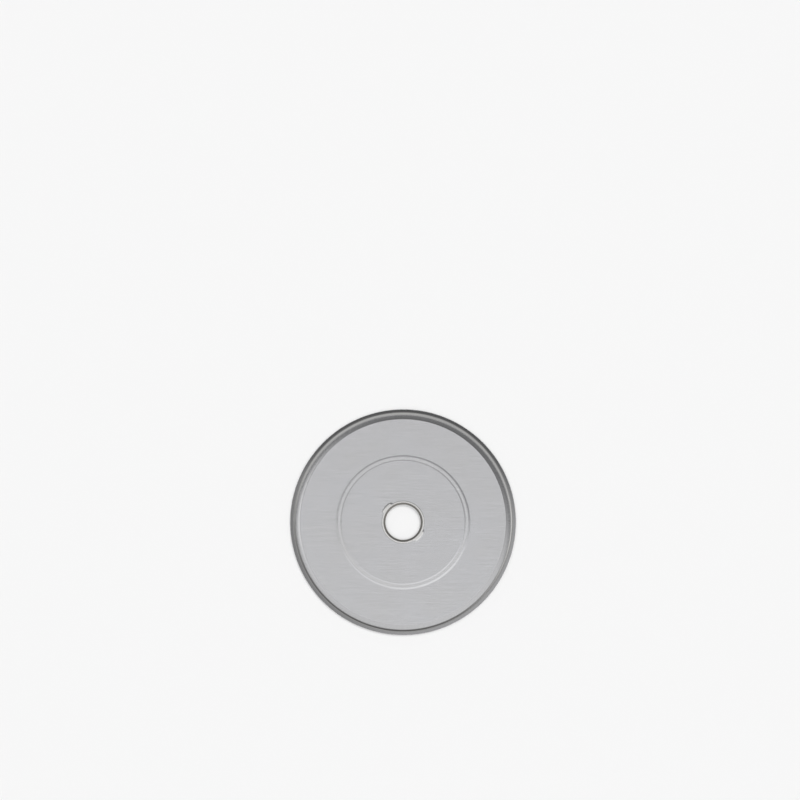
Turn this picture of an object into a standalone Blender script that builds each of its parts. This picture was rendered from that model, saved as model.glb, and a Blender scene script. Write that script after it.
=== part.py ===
"""Rotary cutter blade: one round of thin hardened steel that runs on a cutter's hub.

The blade lies flat on its underside. +Z is its axis, and the origin is on that axis, in the
plane that the blade lies on. Its section is drawn once, from the bore out to the cutting edge
and back along the underside, and spun about +Z.
Run it with: blender --background --python part.py
"""

import math

import bmesh
import bpy
from mathutils import Vector

MM = 0.001

# The driving sizes, in millimetres.
CUTTING_DIAMETER = 45.0
BORE_DIAMETER = 7.1
SHEET_THICKNESS = 0.30

# The ground rim, the same on both faces: a channel that falls from the sheet and rises to a level
# margin, then the honed edge.
FALL_WIDTH = 0.90
FALL_DEPTH = 0.073
RISE_WIDTH = 0.40
RISE_HEIGHT = 0.042
MARGIN_WIDTH = 0.10
HONED_WIDTH = 0.55

# The clamping land round the bore is pressed up from the sheet in two shallow steps.
OUTER_STEP_DIAMETER = 26.48
OUTER_STEP_HEIGHT = 0.030
OUTER_STEP_RUN = 0.60
INNER_STEP_DIAMETER = 24.76
INNER_STEP_HEIGHT = 0.018
INNER_STEP_RUN = 0.40

# The low lip round the bore, and the two lugs that widen it.
LIP_HEIGHT = 0.06
LIP_WIDTH = 0.74
LIP_SLOPE_RUN = 0.14
LUG_CREST_WIDTH = 0.20
LUG_SLOPE_RUN = 0.32
LUG_SPAN = math.radians(36.0)
LUG_AZIMUTHS = (math.radians(139.5), math.radians(319.5))

# The bore's chamfer on the upper face, and the smaller one underneath.
CHAMFER_WIDTH = 0.38
CHAMFER_DEPTH = 0.12
UNDER_CHAMFER = 0.05

# How finely the round shapes are cut, and how near two sizes are when they are the same.
TURN_STEPS = 120
FALL_STEPS = 4
RISE_STEPS = 3
SAME_PLACE = 0.01

STEEL_COLOUR = (0.50, 0.505, 0.525, 1.0)
STEEL_ROUGHNESS = 0.30
SHARP_ANGLE = math.radians(20.0)


def clear_scene():
    """Removes whatever the opened file holds."""
    for thing in list(bpy.data.objects):
        bpy.data.objects.remove(thing)


def steps():
    """(radius, height, run) of the two pressed steps, from the inside out."""
    inner = (INNER_STEP_DIAMETER / 2, INNER_STEP_HEIGHT, INNER_STEP_RUN)
    outer = (OUTER_STEP_DIAMETER / 2, OUTER_STEP_HEIGHT, OUTER_STEP_RUN)
    return inner, outer


def press_height(radius):
    """How far the sheet is pressed up at this radius, in millimetres."""
    height = 0.0
    for step, rise, run in steps():
        share = (step + run / 2 - radius) / run
        height += rise * min(1.0, max(0.0, share))
    return height


def step_radii():
    """The radii where the two pressed steps bend, from the inside out."""
    radii = []
    for step, _, run in steps():
        radii += [step - run / 2, step + run / 2]
    return radii


def ease(share):
    """A share from 0 to 1 that starts and ends gently."""
    return share * share * (3 - 2 * share)


def ground_rim():
    """(radius, half thickness) along the ground rim, from its shoulder to the cutting edge."""
    edge = CUTTING_DIAMETER / 2
    root = edge - HONED_WIDTH
    lowest = root - MARGIN_WIDTH - RISE_WIDTH
    thinnest = SHEET_THICKNESS / 2 - FALL_DEPTH
    points = []
    for i in range(FALL_STEPS + 1):
        share = i / FALL_STEPS
        # The fall is half as steep again at the shoulder as at the channel's foot.
        fall = FALL_DEPTH * share * (6 - share) / 5
        points.append((lowest - FALL_WIDTH * (1 - share), SHEET_THICKNESS / 2 - fall))
    for i in range(1, RISE_STEPS + 1):
        share = i / RISE_STEPS
        points.append((lowest + RISE_WIDTH * share, thinnest + RISE_HEIGHT * ease(share)))
    points.append((root, thinnest + RISE_HEIGHT))
    points.append((edge, 0.0))
    return points


def lug_radii():
    """The two radii that the lugs raise: the lip's foot and the end of the lugs' own crest."""
    lip_foot = BORE_DIAMETER / 2 + LIP_WIDTH
    return lip_foot, lip_foot + LUG_CREST_WIDTH


def section():
    """The closed section at +X, in millimetres, over the top face to the edge and back underneath."""
    bore = BORE_DIAMETER / 2
    lip_foot, lug_crest = lug_radii()
    pressed = press_height(bore)
    land = SHEET_THICKNESS + pressed
    crest = land + LIP_HEIGHT
    top = [
        (bore, crest - CHAMFER_DEPTH),
        (bore + CHAMFER_WIDTH, crest),
        (lip_foot - LIP_SLOPE_RUN, crest),
        (lip_foot, land),
        (lug_crest, land),
        (lug_crest + LUG_SLOPE_RUN, land),
    ]
    top += [(radius, SHEET_THICKNESS + press_height(radius)) for radius in step_radii()]
    middle = SHEET_THICKNESS / 2
    rim = ground_rim()
    top += [(radius, middle + half) for radius, half in rim]
    under = [(radius, middle - half) for radius, half in reversed(rim[:-1])]
    under += [(radius, press_height(radius)) for radius in reversed(step_radii())]
    under += [(bore + UNDER_CHAMFER, pressed), (bore, pressed + UNDER_CHAMFER)]
    return top + under


def in_a_lug(azimuth):
    """Whether this azimuth is within one of the lugs."""
    for middle in LUG_AZIMUTHS:
        away = math.remainder(azimuth - middle, 2 * math.pi)
        if abs(away) < LUG_SPAN / 2:
            return True
    return False


def raise_lugs(mesh):
    """Lifts the rings of points that the lugs raise to the lip's height, within each lug."""
    land = SHEET_THICKNESS + press_height(BORE_DIAMETER / 2)
    for vert in mesh.verts:
        radius = math.hypot(vert.co.x, vert.co.y) / MM
        on_land = abs(vert.co.z / MM - land) < SAME_PLACE
        on_ring = any(abs(radius - ring) < SAME_PLACE for ring in lug_radii())
        if on_land and on_ring and in_a_lug(math.atan2(vert.co.y, vert.co.x)):
            vert.co.z += LIP_HEIGHT * MM


def spun_blade():
    """The blade's mesh: its section spun about +Z, with the lugs raised."""
    mesh = bmesh.new()
    corners = [mesh.verts.new((radius * MM, 0.0, height * MM)) for radius, height in section()]
    lines = [mesh.edges.new((corners[i - 1], corners[i])) for i in range(len(corners))]
    bmesh.ops.spin(
        mesh,
        geom=corners + lines,
        cent=Vector(),
        axis=Vector((0.0, 0.0, 1.0)),
        angle=2 * math.pi,
        steps=TURN_STEPS,
        use_merge=True,
    )
    raise_lugs(mesh)
    bmesh.ops.recalc_face_normals(mesh, faces=mesh.faces)
    data = bpy.data.meshes.new("rotary_blade")
    mesh.to_mesh(data)
    mesh.free()
    return data


def steel():
    """Bright satin steel."""
    material = bpy.data.materials.new("satin_steel")
    material.use_nodes = True
    shader = material.node_tree.nodes["Principled BSDF"]
    shader.inputs["Base Color"].default_value = STEEL_COLOUR
    shader.inputs["Metallic"].default_value = 1.0
    shader.inputs["Roughness"].default_value = STEEL_ROUGHNESS
    return material


def main():
    """Builds the blade in an empty scene."""
    clear_scene()
    data = spun_blade()
    data.materials.append(steel())
    data.shade_smooth()
    data.set_sharp_from_angle(angle=SHARP_ANGLE)
    blade = bpy.data.objects.new("rotary_blade", data)
    bpy.context.scene.collection.objects.link(blade)


main()
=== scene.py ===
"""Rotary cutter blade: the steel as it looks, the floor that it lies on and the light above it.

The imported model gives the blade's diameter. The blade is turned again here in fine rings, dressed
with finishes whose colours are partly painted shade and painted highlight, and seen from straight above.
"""

import logging
import math
from collections.abc import Callable, Mapping
from dataclasses import dataclass
from enum import Enum
from itertools import pairwise
from typing import Any

import bmesh
import bpy
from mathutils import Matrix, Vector


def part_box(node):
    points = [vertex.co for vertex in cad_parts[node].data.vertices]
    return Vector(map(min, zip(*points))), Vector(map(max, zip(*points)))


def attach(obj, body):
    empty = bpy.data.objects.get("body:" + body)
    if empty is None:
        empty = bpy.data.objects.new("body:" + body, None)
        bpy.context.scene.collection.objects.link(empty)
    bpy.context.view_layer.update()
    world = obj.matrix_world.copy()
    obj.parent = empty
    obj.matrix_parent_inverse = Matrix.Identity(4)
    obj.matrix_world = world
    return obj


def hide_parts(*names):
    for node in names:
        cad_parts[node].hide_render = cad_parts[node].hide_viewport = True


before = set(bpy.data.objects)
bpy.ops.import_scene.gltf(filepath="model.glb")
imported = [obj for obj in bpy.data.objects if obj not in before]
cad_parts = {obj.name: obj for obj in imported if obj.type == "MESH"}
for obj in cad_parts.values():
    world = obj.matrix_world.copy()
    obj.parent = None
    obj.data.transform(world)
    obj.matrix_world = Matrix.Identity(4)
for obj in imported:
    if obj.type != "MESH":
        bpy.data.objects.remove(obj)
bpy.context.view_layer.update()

MM = 0.001
BODY = "root"
NODE = "rotary_blade"

# The middle of a noise that goes from 0 to 1, and a whole turn in degrees.
NOISE_MIDDLE = 0.5
WHOLE_TURN = 360.0

# Where a Mix node takes its two colours and gives out the third.
MIX_LOW = 6
MIX_HIGH = 7
MIX_RESULT = 2

LOG = logging.getLogger("rotary_blade")

Colour = tuple[float, float, float]
Rule = Callable[[Vector], bool]
Dressing = tuple[bpy.types.Material, Rule]


class Signal:
    """A socket that a node gives out. Python's operators on it add Math nodes."""

    def __init__(self, bench: "Bench", socket: bpy.types.NodeSocket) -> None:
        """Keeps the socket, and the bench that makes the next nodes."""
        self.bench = bench
        self.socket = socket

    def __add__(self, other: "Signal | float") -> "Signal":
        """This plus other."""
        return self.bench.maths("ADD", self, other)

    def __radd__(self, other: float) -> "Signal":
        """Other plus this."""
        return self.bench.maths("ADD", other, self)

    def __sub__(self, other: "Signal | float") -> "Signal":
        """This minus other."""
        return self.bench.maths("SUBTRACT", self, other)

    def __rsub__(self, other: float) -> "Signal":
        """Other minus this."""
        return self.bench.maths("SUBTRACT", other, self)

    def __mul__(self, other: "Signal | float") -> "Signal":
        """This times other."""
        return self.bench.maths("MULTIPLY", self, other)

    def __rmul__(self, other: float) -> "Signal":
        """Other times this."""
        return self.bench.maths("MULTIPLY", other, self)

    def __truediv__(self, other: "Signal | float") -> "Signal":
        """This over other."""
        return self.bench.maths("DIVIDE", self, other)

    def __rtruediv__(self, other: float) -> "Signal":
        """Other over this."""
        return self.bench.maths("DIVIDE", other, self)

    def swing(self, strength: float) -> "Signal":
        """A noise from 0 to 1 made to swing round 0, by half this strength each way."""
        return (self - NOISE_MIDDLE) * strength


class Bench:
    """Where a material's or the world's nodes are put together."""

    def __init__(self, tree: bpy.types.NodeTree) -> None:
        """Starts on a node tree, which keeps the nodes that it has."""
        self.tree = tree

    def node(
        self, kind: str, settings: Mapping[str, Any], inputs: Mapping[str | int, Any]
    ) -> bpy.types.Node:
        """Adds one node.

        Args:
            kind: the node's type, such as ShaderNodeBump.
            settings: its properties, set before its sockets; stops are a ramp's (place, colour) pairs.
            inputs: a number, a colour or a signal for each socket, by its name or its place.

        Returns:
            The new node.
        """
        node = self.tree.nodes.new(kind)
        for name, value in settings.items():
            if name == "stops":
                self.set_stops(node.color_ramp, value)
            else:
                setattr(node, name, value)
        for key, value in inputs.items():
            self.plug(node.inputs[key], value)
        return node

    def signal(
        self,
        kind: str,
        settings: Mapping[str, Any],
        inputs: Mapping[str | int, Any],
        output: str | int = 0,
    ) -> Signal:
        """Adds one node and gives the signal of one of its outputs.

        Args:
            kind: the node's type.
            settings: its properties.
            inputs: the values or signals of its sockets.
            output: the output's name or place.

        Returns:
            The signal of that output.
        """
        return Signal(self, self.node(kind, settings, inputs).outputs[output])

    def plug(self, socket: bpy.types.NodeSocket, value: Any) -> None:
        """Links a signal to a socket, or sets the socket to a value.

        Args:
            socket: the socket that takes it.
            value: a signal, or what such a socket holds by itself.
        """
        if isinstance(value, Signal):
            self.tree.links.new(value.socket, socket)
        else:
            socket.default_value = value

    @staticmethod
    def set_stops(ramp: bpy.types.ColorRamp, stops: list[tuple[float, Colour]]) -> None:
        """Gives a ramp its stops.

        Args:
            ramp: the ramp of a new node, which has two stops to start with.
            stops: (place, colour) pairs, in the order of their places.
        """
        while len(ramp.elements) < len(stops):
            ramp.elements.new(1.0)
        for element, (place, colour) in zip(ramp.elements, stops):
            element.position = place
            element.color = (*colour, 1.0)

    def maths(self, operation: str, *values: Signal | float) -> Signal:
        """A Math node on signals and numbers."""
        return self.signal("ShaderNodeMath", {"operation": operation}, dict(enumerate(values)))

    def blend(self, share: Signal, low: Colour, high: Colour) -> Signal:
        """A colour between two, by a share from 0 to 1."""
        inputs = {0: share, MIX_LOW: (*low, 1.0), MIX_HIGH: (*high, 1.0)}
        return self.signal("ShaderNodeMix", {"data_type": "RGBA"}, inputs, MIX_RESULT)

    def shade(self, colour: Signal | Colour, level: Signal) -> Signal:
        """A colour made lighter or darker.

        Args:
            colour: the colour, or the signal of one.
            level: how light it is made, where 1 leaves it as it is.

        Returns:
            The colour times the level.
        """
        plain = colour if isinstance(colour, Signal) else (*colour, 1.0)
        grey = self.signal("ShaderNodeCombineColor", {}, {0: level, 1: level, 2: level})
        settings = {"data_type": "RGBA", "blend_type": "MULTIPLY"}
        inputs = {0: 1.0, MIX_LOW: plain, MIX_HIGH: grey}
        return self.signal("ShaderNodeMix", settings, inputs, MIX_RESULT)

    def eased(self, value: Signal, start: float, end: float) -> Signal:
        """Goes smoothly from 0 to 1.

        Args:
            value: what it goes by.
            start: the value where it leaves 0.
            end: the value where it has reached 1.

        Returns:
            The share, from 0 to 1.
        """
        settings = {"interpolation_type": "SMOOTHSTEP"}
        inputs = {"Value": value, "From Min": start, "From Max": end}
        return self.signal("ShaderNodeMapRange", settings, inputs)

    def object_place(self) -> Signal:
        """The point on the piece, in metres, as it lies in the frame."""
        return self.signal("ShaderNodeTexCoord", {}, {}, "Object")

    def split(self, vector: Signal) -> tuple[Signal, Signal, Signal]:
        """The three parts of a vector."""
        node = self.node("ShaderNodeSeparateXYZ", {}, {0: vector})
        return Signal(self, node.outputs[0]), Signal(self, node.outputs[1]), Signal(self, node.outputs[2])

    def joined(self, x: Signal, y: Signal) -> Signal:
        """A flat vector from its two parts."""
        return self.signal("ShaderNodeCombineXYZ", {}, {0: x, 1: y})

    def polar(self, place: Signal) -> tuple[Signal, Signal]:
        """The radius of a place from the blade's axis, and its azimuth in radians."""
        x, y, _ = self.split(place)
        return self.maths("SQRT", x * x + y * y), self.maths("ARCTAN2", y, x)

    def noise(self, vector: Signal) -> Signal:
        """Noise from 0 to 1 whose features are one unit of the vector wide."""
        return self.signal("ShaderNodeTexNoise", {}, {"Vector": vector, "Scale": 1.0})

    def streaks(self, place: Signal, across: float, along: float, turned: float = 0.0) -> Signal:
        """Noise drawn out along one direction of the blade's plane.

        Args:
            place: the point on the piece, in metres.
            across: a streak's width, in metres.
            along: a streak's length, in metres.
            turned: the angle from X to the streaks, in radians.

        Returns:
            Noise from 0 to 1.
        """
        settings = {"rotation_type": "Z_AXIS"}
        lined_up = self.signal("ShaderNodeVectorRotate", settings, {"Vector": place, "Angle": -turned})
        scale = (1.0 / along, 1.0 / across, 1.0 / across)
        stretched = self.signal("ShaderNodeVectorMath", {"operation": "MULTIPLY"}, {0: lined_up, 1: scale})
        return self.noise(stretched)


class CutLay(Enum):
    """Which way a tool's marks run on a round blade."""

    ROUND = "round the axis"
    ACROSS = "from the shoulder to the edge"


@dataclass(frozen=True)
class RolledSteel:
    """The sheet's own face: grain the way it was rolled, pits, hair scratches, a film of oil.

    Pressed sheet keeps these marks with another roughness. Its colour is darker at the lip and lugs, as
    painted shade, and lighter between the steps, as painted highlight. Lengths are in metres. The tones say
    how far each mark changes the colour's level, and the roughs how far it changes the roughness.
    line_height is how much higher the lines are than the other marks.
    """

    name: str
    neutral: Colour = (0.529, 0.527, 0.530)
    cool: Colour = (0.517, 0.522, 0.543)
    roughness: float = 0.21
    relief: float = 0.0005 * MM

    grain_width: float = 0.045 * MM
    grain_length: float = 1.4 * MM
    grain_tone: float = 0.20
    grain_rough: float = 0.08
    line_width: float = 0.16 * MM
    line_length: float = 7.0 * MM
    line_tone: float = 0.15
    line_height: float = 3.0
    pit_width: float = 0.10 * MM
    pit_tone: float = 0.08
    film_width: float = 9.0 * MM
    film_tone: float = 0.06
    film_rough: float = 0.06

    scratch_width: float = 0.03 * MM
    scratch_length: float = 5.0 * MM
    scratch_ways: tuple[float, ...] = (math.radians(24.0), math.radians(-47.0), math.radians(81.0))
    scratch_tone: float = 0.10
    hair_start: float = 0.66
    hair_end: float = 0.74
    patch_start: float = 0.45
    patch_end: float = 0.60

    def scratches(self, bench: Bench, place: Signal) -> Signal:
        """Sparse hair scratches that run a few ways over the face, in patches.

        Args:
            bench: where the nodes are made.
            place: the point on the piece, in metres.

        Returns:
            1 along a scratch and 0 beside it.
        """
        patches = bench.streaks(place, self.scratch_length, self.scratch_length)
        found = bench.eased(patches, self.patch_start, self.patch_end)
        total: Signal | float = 0.0
        for way in self.scratch_ways:
            hairs = bench.streaks(place, self.scratch_width, self.scratch_length, way)
            total = bench.eased(hairs, self.hair_start, self.hair_end) + total
        return found * total

    def make(self) -> bpy.types.Material:
        """Makes the finish.

        Returns:
            Its material.
        """
        bench, shader = new_finish(self.name)
        place = bench.object_place()
        grain = bench.streaks(place, self.grain_width, self.grain_length)
        lines = bench.streaks(place, self.line_width, self.line_length)
        pits = bench.streaks(place, self.pit_width, self.pit_width)
        film = bench.streaks(place, self.film_width, self.film_width)
        scratches = self.scratches(bench, place)
        level = 1.0 + grain.swing(self.grain_tone) + lines.swing(self.line_tone)
        level = level + pits.swing(self.pit_tone) + film.swing(self.film_tone)
        level = level + scratches * self.scratch_tone
        colour = bench.blend(film, self.neutral, self.cool)
        bench.plug(shader.inputs["Base Color"], bench.shade(colour, level))
        rough = self.roughness + grain.swing(self.grain_rough) + film.swing(self.film_rough)
        bench.plug(shader.inputs["Roughness"], rough)
        add_relief(bench, shader, grain + lines * self.line_height + pits - scratches, self.relief)
        return bpy.data.materials[self.name]


@dataclass(frozen=True)
class CutSteel:
    """Steel that a wheel or a punch has cut: close marks in one direction, with broader ones among them.

    Lengths are in metres. slant is how far the marks run round for each step outward, and broader is
    how many times wider and higher the broad marks are. The tones say how far the marks change the
    colour's level, and fine_rough how far they change the roughness.
    """

    name: str
    lay: CutLay
    colour: Colour
    roughness: float
    mark_width: float
    mark_length: float
    relief: float
    slant: float = 0.0
    fine_tone: float = 0.35
    fine_rough: float = 0.10
    broader: float = 4.0
    broad_tone: float = 0.25

    def marks(self, bench: Bench, radius: Signal, around: Signal, width: float) -> Signal:
        """The tool's marks, from 0 to 1.

        Args:
            bench: where the nodes are made.
            radius: the distance from the axis, in metres.
            around: the distance round the axis, in metres.
            width: how wide a mark is, in metres.

        Returns:
            Noise drawn out along the lay.
        """
        if self.lay is CutLay.ROUND:
            return bench.noise(bench.joined(radius / width, around / self.mark_length))
        return bench.noise(bench.joined(around / width, radius / self.mark_length))

    def make(self, reach: float) -> bpy.types.Material:
        """Makes the finish.

        Args:
            reach: about how far from the axis the steel that has it is, in metres.

        Returns:
            Its material.
        """
        bench, shader = new_finish(self.name)
        radius, azimuth = bench.polar(bench.object_place())
        around = azimuth * reach + radius * self.slant
        fine = self.marks(bench, radius, around, self.mark_width)
        broad = self.marks(bench, radius, around, self.mark_width * self.broader)
        level = 1.0 + fine.swing(self.fine_tone) + broad.swing(self.broad_tone)
        bench.plug(shader.inputs["Base Color"], bench.shade(self.colour, level))
        bench.plug(shader.inputs["Roughness"], self.roughness + fine.swing(self.fine_rough))
        add_relief(bench, shader, fine + broad * self.broader, self.relief)
        return bpy.data.materials[self.name]


def new_finish(name: str) -> tuple[Bench, bpy.types.Node]:
    """Starts a metal finish.

    Args:
        name: the material's name.

    Returns:
        The bench for its nodes, and its Principled BSDF.
    """
    material = bpy.data.materials.new(name)
    material.use_nodes = True
    shader = material.node_tree.nodes["Principled BSDF"]
    shader.inputs["Metallic"].default_value = 1.0
    return Bench(material.node_tree), shader


def add_relief(bench: Bench, shader: bpy.types.Node, height: Signal, depth: float) -> None:
    """Gives a finish fine relief.

    Args:
        bench: where the nodes are made.
        shader: the finish's Principled BSDF.
        height: the relief, in units of its depth.
        depth: how high one unit is, in metres.
    """
    bump = bench.signal("ShaderNodeBump", {}, {"Strength": 1.0, "Distance": depth, "Height": height})
    bench.plug(shader.inputs["Normal"], bump)


class Element(Enum):
    """What is selected in a mesh, by edit mode's own word for it."""

    POINT = "VERT"
    FACE = "FACE"


def select_by(body: bpy.types.Object, kind: Element, rule: Rule) -> int:
    """Selects a mesh's points or faces in edit mode.

    Args:
        body: the object in edit mode.
        kind: whether its points or its faces are selected.
        rule: takes a point's place, or the middle of a face's corners, and says whether it is selected.

    Returns:
        How many are selected.
    """
    bpy.ops.mesh.select_mode(type=kind.value)
    bpy.ops.mesh.select_all(action="DESELECT")
    mesh = bmesh.from_edit_mesh(body.data)
    count = 0
    for element in mesh.verts if kind is Element.POINT else mesh.faces:
        corners = [element.co] if kind is Element.POINT else [vert.co for vert in element.verts]
        if rule(middle_of(corners)):
            element.select_set(True)
            count += 1
    bmesh.update_edit_mesh(body.data)
    return count


def middle_of(corners: list[Vector]) -> Vector:
    """The middle of an element's corners."""
    return sum(corners, Vector()) / len(corners)


def from_axis(place: Vector) -> float:
    """How far a place is from the blade's axis, in metres."""
    return math.hypot(place.x, place.y)


def between(start: float, end: float) -> Rule:
    """A rule that takes what lies between two radii, in metres."""
    return lambda place: start < from_axis(place) < end


def above(height: float) -> Rule:
    """A rule that takes what lies above a height, in metres."""
    return lambda place: place.z > height


def both(first: Rule, second: Rule) -> Rule:
    """A rule that takes what both of two rules take."""
    return lambda place: first(place) and second(place)


def smooth(share: float) -> float:
    """A share from 0 to 1 that starts and ends gently."""
    return share * share * (3 - 2 * share)


@dataclass(frozen=True)
class Ring:
    """One ring of the blade's section, in metres."""

    radius: float
    height: float


@dataclass
class Blade:
    """The blade: one round of sheet steel, pressed, punched and ground.

    Lengths are in metres and angles in radians, and lug_taper is how far a lug narrows at each side for
    each metre outward. A step is given by the radius of its middle. The lip's and lugs' painted shade and
    the crest's painted highlight start at a share of the lip's height, and the chamfer's painted shade ends
    at a share of the chamfer's width.
    """

    edge_radius: float
    sheet: float = 0.30 * MM

    # The bore, the low lip round it and the two lugs that widen the lip.
    bore_radius: float = 3.55 * MM
    chamfer_width: float = 0.38 * MM
    chamfer_depth: float = 0.12 * MM
    bore_break: float = 0.05 * MM
    lip_width: float = 0.74 * MM
    lip_height: float = 0.06 * MM
    lip_slope: float = 0.14 * MM
    lug_crest: float = 0.20 * MM
    lug_slope: float = 0.32 * MM
    lug_span: float = math.radians(30.0)
    lug_end: float = math.radians(7.5)
    lug_taper: float = math.radians(10.0) / MM
    lug_azimuth: float = math.radians(139.5)

    # The two pressed steps.
    inner_step: float = 12.38 * MM
    inner_height: float = 0.018 * MM
    inner_run: float = 0.40 * MM
    outer_step: float = 13.24 * MM
    outer_height: float = 0.030 * MM
    outer_run: float = 0.60 * MM

    # The ground rim: a channel that falls and rises again, a level margin and the honed edge.
    fall_width: float = 0.90 * MM
    fall_depth: float = 0.073 * MM
    rise_width: float = 0.40 * MM
    rise_height: float = 0.042 * MM
    margin_width: float = 0.10 * MM
    honed_width: float = 0.55 * MM

    # Where each finish starts or ends: painted shade at the lip, lugs and chamfer, painted highlight on the
    # crest.
    lip_shade_from: float = 0.03
    burnished_highlight_from: float = 0.9
    punched_shade_to: float = 0.8

    # How finely the round shapes are cut, how wide a bend is, and how near the same is.
    spokes: int = 540
    fall_rings: int = 10
    rise_rings: int = 6
    slope_rings: int = 6
    step_rings: int = 8
    bend_width: float = 0.04 * MM
    sharp_angle: float = math.radians(9.0)
    same_height: float = 0.0006 * MM
    same_share: float = 0.001

    def land(self) -> float:
        """The height of the clamping land."""
        return self.sheet + self.press(self.bore_radius)

    def root(self) -> float:
        """The radius where the honed edge begins."""
        return self.edge_radius - self.honed_width

    def shoulder(self) -> float:
        """The radius where the ground rim begins."""
        hollow = self.fall_width + self.rise_width
        return self.root() - self.margin_width - hollow

    def steps(self) -> tuple[tuple[float, float, float], ...]:
        """The two pressed steps.

        Returns:
            (radius, height, run) of each, from the inside out.
        """
        inner = (self.inner_step, self.inner_height, self.inner_run)
        outer = (self.outer_step, self.outer_height, self.outer_run)
        return inner, outer

    def press(self, radius: float) -> float:
        """How far the sheet is pressed up.

        Args:
            radius: the distance from the axis.

        Returns:
            The height of its underside at that radius.
        """
        height = 0.0
        for step, rise, run in self.steps():
            share = (step + run / 2 - radius) / run
            height += rise * smooth(min(1.0, max(0.0, share)))
        return height

    def pressed_radii(self) -> list[float]:
        """Where the rings over the two steps lie.

        Returns:
            Their radii, from the inside out.
        """
        radii = []
        for step, _, run in self.steps():
            radii.append(step - run / 2 - self.bend_width)
            radii += [step + run * (i / self.step_rings - 0.5) for i in range(self.step_rings + 1)]
            radii.append(step + run / 2 + self.bend_width)
        return radii

    def pressed_from(self) -> float:
        """The radius where the pressed steps begin."""
        return self.inner_step - self.inner_run / 2 - self.bend_width

    def pressed_to(self) -> float:
        """The radius where the pressed steps end."""
        return self.outer_step + self.outer_run / 2 + self.bend_width

    def level_from(self) -> float:
        """The radius where the level between the two steps begins."""
        return self.inner_step + self.inner_run / 2

    def level_to(self) -> float:
        """The radius where the level between the two steps ends."""
        return self.outer_step - self.outer_run / 2

    def rim(self) -> list[tuple[float, float]]:
        """The ground rim, from the shoulder to the cutting edge.

        Returns:
            (radius, half thickness) of each of its rings.
        """
        half = self.sheet / 2
        radius = self.shoulder()
        points = [(radius - self.bend_width, half)]
        for i in range(self.fall_rings + 1):
            share = i / self.fall_rings
            # The fall is half as steep again at the shoulder as at the channel's foot.
            fall = self.fall_depth * share * (6 - share) / 5
            points.append((radius + self.fall_width * share, half - fall))
        radius += self.fall_width
        half -= self.fall_depth
        for i in range(1, self.rise_rings + 1):
            share = i / self.rise_rings
            points.append((radius + self.rise_width * share, half + self.rise_height * smooth(share)))
        root = self.root()
        half += self.rise_height
        points += [(root - self.bend_width, half), (root, half)]
        slope = half / self.honed_width
        points.append((root + self.bend_width, half - slope * self.bend_width))
        return points + [(self.edge_radius, 0.0)]

    def section(self) -> list[Ring]:
        """The blade's section, from the bore over the top face to the edge, and back underneath.

        Returns:
            Its rings, in that order.
        """
        bore = self.bore_radius
        land = self.land()
        crest = land + self.lip_height
        foot = bore + self.lip_width
        lug_crest = foot + self.lug_crest
        lug_foot = lug_crest + self.lug_slope
        rings = [Ring(bore, crest - self.chamfer_depth), Ring(bore + self.chamfer_width, crest)]
        for i in range(self.slope_rings + 1):
            share = i / self.slope_rings
            height = land + self.lip_height * smooth(1 - share)
            rings.append(Ring(foot - self.lip_slope * (1 - share), height))
        for i in range(self.slope_rings + 1):
            rings.append(Ring(lug_crest + self.lug_slope * i / self.slope_rings, land))
        rings.append(Ring(lug_foot + self.bend_width, land))
        pressed = self.pressed_radii()
        rings += [Ring(radius, self.sheet + self.press(radius)) for radius in pressed]
        middle = self.sheet / 2
        rim = self.rim()
        rings += [Ring(radius, middle + half) for radius, half in rim]
        rings += [Ring(radius, middle - half) for radius, half in reversed(rim[:-1])]
        # The hidden underside of the steps has half as many rings.
        rings += [Ring(radius, self.press(radius)) for radius in reversed(pressed[::2])]
        rings.append(Ring(bore + self.bore_break, self.press(bore)))
        rings.append(Ring(bore, self.press(bore) + self.bore_break))
        return rings

    def turn(self) -> bpy.types.Object:
        """Turns the section: a circle at the bore is extruded ring by ring, and closed through the bore.

        Returns:
            The turned blade, in edit mode.
        """
        rings = self.section()
        bpy.ops.object.select_all(action="DESELECT")
        bpy.ops.mesh.primitive_circle_add(vertices=self.spokes, radius=rings[0].radius)
        body = bpy.context.object
        body.name = "blade"
        body.data.name = "blade"
        bpy.ops.object.mode_set(mode="EDIT")
        bpy.ops.mesh.select_all(action="SELECT")
        bpy.ops.transform.translate(value=(0.0, 0.0, rings[0].height))
        for before, after in pairwise(rings):
            rise = (0.0, 0.0, after.height - before.height)
            bpy.ops.mesh.extrude_edges_move(TRANSFORM_OT_translate={"value": rise})
            wider = after.radius / before.radius
            bpy.ops.transform.resize(
                value=(wider, wider, 1.0), center_override=(0.0, 0.0, after.height)
            )
        bpy.ops.mesh.select_non_manifold(
            extend=False,
            use_wire=False,
            use_multi_face=False,
            use_non_contiguous=False,
            use_verts=False,
        )
        bpy.ops.mesh.bridge_edge_loops()
        bpy.ops.mesh.select_all(action="SELECT")
        bpy.ops.mesh.normals_make_consistent(inside=False)
        return body

    def lug_share(self, place: Vector) -> float:
        """How far up a lug a place on the land is.

        Args:
            place: the place, whose height isn't looked at.

        Returns:
            0 at the lug's foot, 1 on its crest, and less than 0 outside it.
        """
        past_lip = from_axis(place) - self.bore_radius - self.lip_width
        outward = max(0.0, past_lip - self.lug_crest) / self.lug_slope
        azimuth = math.atan2(place.y, place.x)
        away = abs(math.remainder(azimuth - self.lug_azimuth, math.pi))
        reach = self.lug_span / 2 - self.lug_taper * past_lip
        sideways = max(0.0, away - reach) / self.lug_end
        return 1.0 - math.hypot(outward, sideways)

    def raise_lugs(self, body: bpy.types.Object) -> None:
        """Raises the two lugs to the lip's height, in terraces that lie within each other.

        Args:
            body: the turned blade, in edit mode.
        """
        land = self.land()
        crest = land + self.lip_height
        # The share of the way up to the crest that is left, before this terrace is raised and after.
        left = 1.0
        for terrace in range(1, self.slope_rings + 1):
            share = terrace / self.slope_rings

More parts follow.
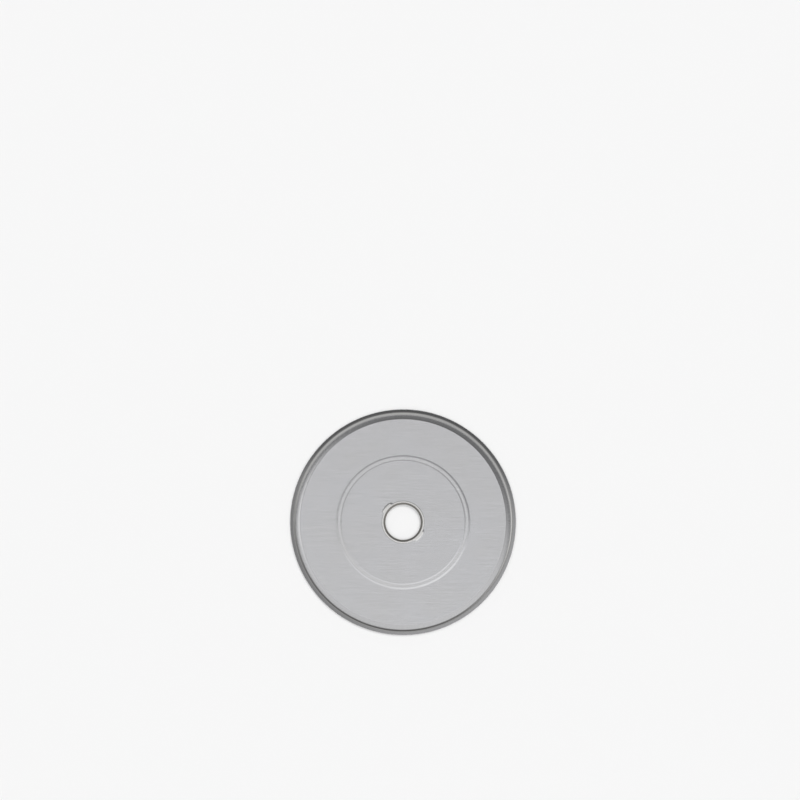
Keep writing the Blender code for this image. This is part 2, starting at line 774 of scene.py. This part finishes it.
            def on_terrace(place: Vector) -> bool:
                """Whether a point of the land belongs on this terrace or higher."""
                on_top = land - self.same_height < place.z < crest - self.same_height
                return on_top and self.lug_share(place) > share - self.same_share

            select_by(body, Element.POINT, on_terrace)
            still = 1.0 - smooth(share)
            bpy.ops.transform.resize(
                value=(1.0, 1.0, still / left), center_override=(0.0, 0.0, crest)
            )
            left = still

    def sheet_finishes(self) -> list[Dressing]:
        """The finishes of the sheet: rolled, pressed, lighter between the steps as painted highlight,
        darker at the lip and lugs as painted shade.

        Returns:
            Each finish, with the rule for its faces.
        """
        rolled = RolledSteel(name="rolled_steel")
        pressed = RolledSteel(name="pressed_steel", roughness=0.15)
        # Lighter steel between the two steps: a painted highlight.
        between_steps_highlight = RolledSteel(name="between_steps_highlight_steel", neutral=(0.555, 0.553, 0.552), cool=(0.545, 0.548, 0.564))
        # Darker steel on the lip and lugs: painted shade.
        lip_shade = RolledSteel(name="lip_shade_steel", neutral=(0.415, 0.413, 0.412), cool=(0.405, 0.408, 0.420))
        round_bore = between(0.0, self.pressed_from())
        raised = above(self.land() + self.lip_height * self.lip_shade_from)
        return [
            (rolled.make(), between(0.0, self.edge_radius)),
            (pressed.make(), between(self.pressed_from(), self.pressed_to())),
            (between_steps_highlight.make(), between(self.level_from(), self.level_to())),
            (lip_shade.make(), both(round_bore, raised)),
        ]

    def rim_finishes(self) -> list[Dressing]:
        """The finishes of the ground rim, from the shoulder to the cutting edge, darker than the sheet as
        painted shade.

        Returns:
            Each finish, with the rule for its faces.
        """
        # The hollow, darker than the sheet: painted shade.
        hollow_ground_shade = CutSteel(
            name="hollow_ground_shade_steel",
            lay=CutLay.ACROSS,
            colour=(0.372, 0.372, 0.378),
            roughness=0.13,
            mark_width=0.05 * MM,
            mark_length=1.6 * MM,
            relief=0.0008 * MM,
            slant=0.5,
        )
        # The channel's rise and the margin, darker still: painted shade.
        lapped_shade = CutSteel(
            name="lapped_shade_steel",
            lay=CutLay.ROUND,
            colour=(0.285, 0.283, 0.28),
            roughness=0.14,
            mark_width=0.03 * MM,
            mark_length=3.0 * MM,
            relief=0.0002 * MM,
        )
        # The honed edge, darkest of the rim: painted shade.
        honed_shade = CutSteel(
            name="honed_shade_steel",
            lay=CutLay.ACROSS,
            colour=(0.205, 0.205, 0.208),
            roughness=0.16,
            mark_width=0.025 * MM,
            mark_length=0.8 * MM,
            relief=0.0003 * MM,
            slant=-0.4,
        )
        edge = self.edge_radius
        return [
            (hollow_ground_shade.make(edge), between(self.shoulder(), edge)),
            (lapped_shade.make(edge), between(self.shoulder() + self.fall_width, edge)),
            (honed_shade.make(edge), between(self.root(), edge)),
        ]

    def bore_finishes(self) -> list[Dressing]:
        """The finishes round the bore: the crest of the lip and lugs, lighter as painted highlight, and the
        chamfer with the hole's wall, darker as painted shade.

        Returns:
            Each finish, with the rule for its faces.
        """
        # The crest of the lip and lugs, lighter than the sheet: a painted highlight.
        burnished_highlight = CutSteel(
            name="burnished_highlight_steel",
            lay=CutLay.ROUND,
            colour=(0.65, 0.645, 0.635),
            roughness=0.20,
            mark_width=0.04 * MM,
            mark_length=0.6 * MM,
            relief=0.0003 * MM,
        )
        # The chamfer and the hole's wall, very dark: painted shade for the dark ring round the bore.
        punched_shade = CutSteel(
            name="punched_shade_steel",
            lay=CutLay.ACROSS,
            colour=(0.180, 0.174, 0.162),
            roughness=0.42,
            mark_width=0.06 * MM,
            mark_length=1.0 * MM,
            relief=0.002 * MM,
        )
        bore = self.bore_radius
        return [
            (burnished_highlight.make(bore), above(self.land() + self.lip_height * self.burnished_highlight_from)),
            (punched_shade.make(bore), between(0.0, bore + self.chamfer_width * self.punched_shade_to)),
        ]

    def dress(self, body: bpy.types.Object) -> None:
        """Gives each part of the surface its finish, a later one over an earlier one, with painted shade
        and painted highlight in their colours.

        Args:
            body: the blade, in edit mode.
        """
        finishes = self.sheet_finishes() + self.rim_finishes() + self.bore_finishes()
        for index, (finish, rule) in enumerate(finishes):
            body.data.materials.append(finish)
            count = select_by(body, Element.FACE, rule)
            body.active_material_index = index
            bpy.ops.object.material_slot_assign()
            LOG.info("blade: %s on %d faces", finish.name, count)

    def build(self) -> None:
        """Builds the finished blade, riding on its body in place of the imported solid."""
        body = self.turn()
        self.raise_lugs(body)
        self.dress(body)
        bpy.ops.object.mode_set(mode="OBJECT")
        bpy.ops.object.shade_smooth_by_angle(angle=self.sharp_angle)
        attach(body, BODY)
        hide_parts(NODE)
        LOG.info("blade: %d faces", len(body.data.polygons))


@dataclass(frozen=True)
class Zone:
    """A ring of the room that the steel reflects.

    It takes over from what is inside it between two angles from straight up, in radians. Its levels
    are (azimuth in degrees, level) pairs.
    """

    start: float
    end: float
    levels: tuple[tuple[float, float], ...]

    def level(self, bench: Bench, turn: Signal) -> Signal:
        """The zone's level, from a ramp that holds shares of the brightest one.

        Args:
            bench: where the nodes are made.
            turn: the azimuth, from 0 to 1 for a whole turn.

        Returns:
            The level at that azimuth.
        """
        brightest = max(level for _, level in self.levels)
        stops = [(angle / WHOLE_TURN, (level / brightest,) * 3) for angle, level in self.levels]
        return bench.signal("ShaderNodeValToRGB", {"stops": stops}, {0: turn}) * brightest


INNER_ZONE = Zone(
    start=math.radians(4.4),
    end=math.radians(8.6),
    levels=(
        (0.0, 0.20),
        (30.0, 0.27),
        (60.0, 0.31),
        (100.0, 0.31),
        (130.0, 0.31),
        (155.0, 0.12),
        (180.0, 0.08),
        (200.0, 0.30),
        (217.0, 0.80),
        (240.0, 1.00),
        (270.0, 1.20),
        (300.0, 1.42),
        (321.0, 1.42),
        (331.0, 0.95),
        (341.0, 0.28),
        (360.0, 0.20),
    ),
)

NEAR_ZONE = Zone(
    start=math.radians(9.2),
    end=math.radians(11.0),
    levels=(
        (0.0, 0.72),
        (25.0, 0.38),
        (60.0, 0.31),
        (100.0, 0.31),
        (125.0, 0.48),
        (145.0, 1.30),
        (162.0, 1.85),
        (187.0, 2.25),
        (207.0, 1.60),
        (240.0, 1.30),
        (300.0, 1.42),
        (335.0, 1.36),
        (345.0, 1.10),
        (360.0, 0.72),
    ),
)

FAR_ZONE = Zone(
    start=math.radians(14.0),
    end=math.radians(24.0),
    levels=(
        (0.0, 1.48),
        (15.0, 0.92),
        (30.0, 0.47),
        (60.0, 0.42),
        (115.0, 0.46),
        (143.0, 0.42),
        (158.0, 1.00),
        (180.0, 0.90),
        (240.0, 1.08),
        (270.0, 1.55),
        (335.0, 1.62),
        (360.0, 1.48),
    ),
)


@dataclass
class Studio:
    """The floor, the light and the camera.

    Sizes are in metres, but for the film's width, which is in millimetres. Levels are shares of plain
    white, and azimuths go round from +X.
    """

    blade: Blade

    # The photograph's side, and where the blade is in it, in pixels.
    photo_side: float = 800.0
    centre_px: tuple[float, float] = (403.1, 522.2)
    radius_px: float = 112.7
    camera_height: float = 1.00
    film_width: float = 36.0

    floor_radius: float = 3.0
    floor_sides: int = 64
    floor_drop: float = 0.01 * MM
    floor_colour: Colour = (0.85, 0.85, 0.85)
    floor_roughness: float = 0.9

    # The room: the light overhead, the zones round it, then walls down to the horizon.
    bright_azimuth: float = math.radians(100.0)
    overhead_lean: float = 1.10
    zones: tuple[Zone, ...] = (INNER_ZONE, NEAR_ZONE, FAR_ZONE)
    wall_start: float = math.radians(34.0)
    wall_end: float = math.radians(48.0)
    wall_level: float = 0.78
    horizon_start: float = math.radians(50.0)
    horizon_end: float = math.radians(84.0)
    horizon_level: float = 0.95

    key_strength: float = 1.3
    key_tilt: float = math.radians(60.0)
    key_azimuth: float = math.radians(58.0)
    key_softness: float = math.radians(20.0)

    def lay_floor(self) -> None:
        """Lays a plain pale floor under the blade."""
        bpy.ops.object.select_all(action="DESELECT")
        bpy.ops.mesh.primitive_circle_add(
            vertices=self.floor_sides, radius=self.floor_radius, fill_type="NGON"
        )
        floor = bpy.context.object
        floor.name = "floor"
        bpy.ops.object.mode_set(mode="EDIT")
        bpy.ops.mesh.select_all(action="SELECT")
        bpy.ops.transform.translate(value=(0.0, 0.0, -self.floor_drop))
        bpy.ops.object.mode_set(mode="OBJECT")
        paint = bpy.data.materials.new("floor_paint")
        paint.use_nodes = True
        shader = paint.node_tree.nodes["Principled BSDF"]
        shader.inputs["Base Color"].default_value = (*self.floor_colour, 1.0)
        shader.inputs["Roughness"].default_value = self.floor_roughness
        shader.inputs["Specular IOR Level"].default_value = 0.0
        floor.data.materials.append(paint)

    def light_room(self) -> None:
        """Lights the room, from straight up through the zones to the walls and the horizon."""
        world = bpy.data.worlds.new("studio")
        bpy.context.scene.world = world
        world.use_nodes = True
        bench = Bench(world.node_tree)
        way = bench.signal("ShaderNodeTexCoord", {}, {}, "Generated")
        x, y, z = bench.split(way)
        from_zenith = bench.maths("ARCCOSINE", z)
        turn = bench.maths("FRACT", bench.maths("ARCTAN2", y, x) / (2 * math.pi) + 1.0)
        lean = x * math.cos(self.bright_azimuth) + y * math.sin(self.bright_azimuth)
        level = lean * self.overhead_lean + 1.0
        for zone in self.zones:
            share = bench.eased(from_zenith, zone.start, zone.end)
            level = level + (zone.level(bench, turn) - level) * share
        walls = bench.eased(from_zenith, self.wall_start, self.wall_end)
        low = bench.eased(from_zenith, self.horizon_start, self.horizon_end)
        wall = low * (self.horizon_level - self.wall_level) + self.wall_level
        level = level + (wall - level) * walls
        background = world.node_tree.nodes["Background"]
        background.inputs["Color"].default_value = (1.0, 1.0, 1.0, 1.0)
        bench.plug(background.inputs["Strength"], level)

    def hang_key(self) -> None:
        """Hangs the soft key lamp, which gives the floor its shadow and isn't seen in the steel."""
        lamp = bpy.data.lights.new("key_lamp", "SUN")
        lamp.energy = self.key_strength
        lamp.angle = self.key_softness
        key = bpy.data.objects.new("key_lamp", lamp)
        bpy.context.scene.collection.objects.link(key)
        towards = Vector(
            (
                math.sin(self.key_tilt) * math.cos(self.key_azimuth),
                math.sin(self.key_tilt) * math.sin(self.key_azimuth),
                math.cos(self.key_tilt),
            )
        )
        key.rotation_euler = towards.to_track_quat("Z", "Y").to_euler()
        key.visible_glossy = False

    def place_camera(self) -> None:
        """Puts the camera straight above, where the blade has its place in the photograph."""
        scale = self.blade.edge_radius / self.radius_px
        camera_data = bpy.data.cameras.new("camera")
        camera = bpy.data.objects.new("camera", camera_data)
        bpy.context.scene.collection.objects.link(camera)
        camera_data.sensor_width = self.film_width
        camera_data.lens = self.film_width * self.camera_height / (self.photo_side * scale)
        camera.location = (
            (self.photo_side / 2 - self.centre_px[0]) * scale,
            (self.centre_px[1] - self.photo_side / 2) * scale,
            self.camera_height + self.blade.sheet / 2,
        )
        bpy.context.scene.camera = camera

    def build(self) -> None:
        """Sets up the floor, the light, the camera and the colours of the picture."""
        self.lay_floor()
        self.light_room()
        self.hang_key()
        self.place_camera()
        bpy.context.scene.view_settings.view_transform = "Standard"
        LOG.info("studio: floor, light and camera are in place")


def main() -> None:
    """Builds the blade and the studio round it."""
    logging.basicConfig(level=logging.INFO, format="%(name)s: %(message)s")
    low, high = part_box(NODE)
    blade = Blade(edge_radius=(high.x - low.x) / 2)
    blade.build()
    Studio(blade).build()


if __name__ == "__main__":
    main()
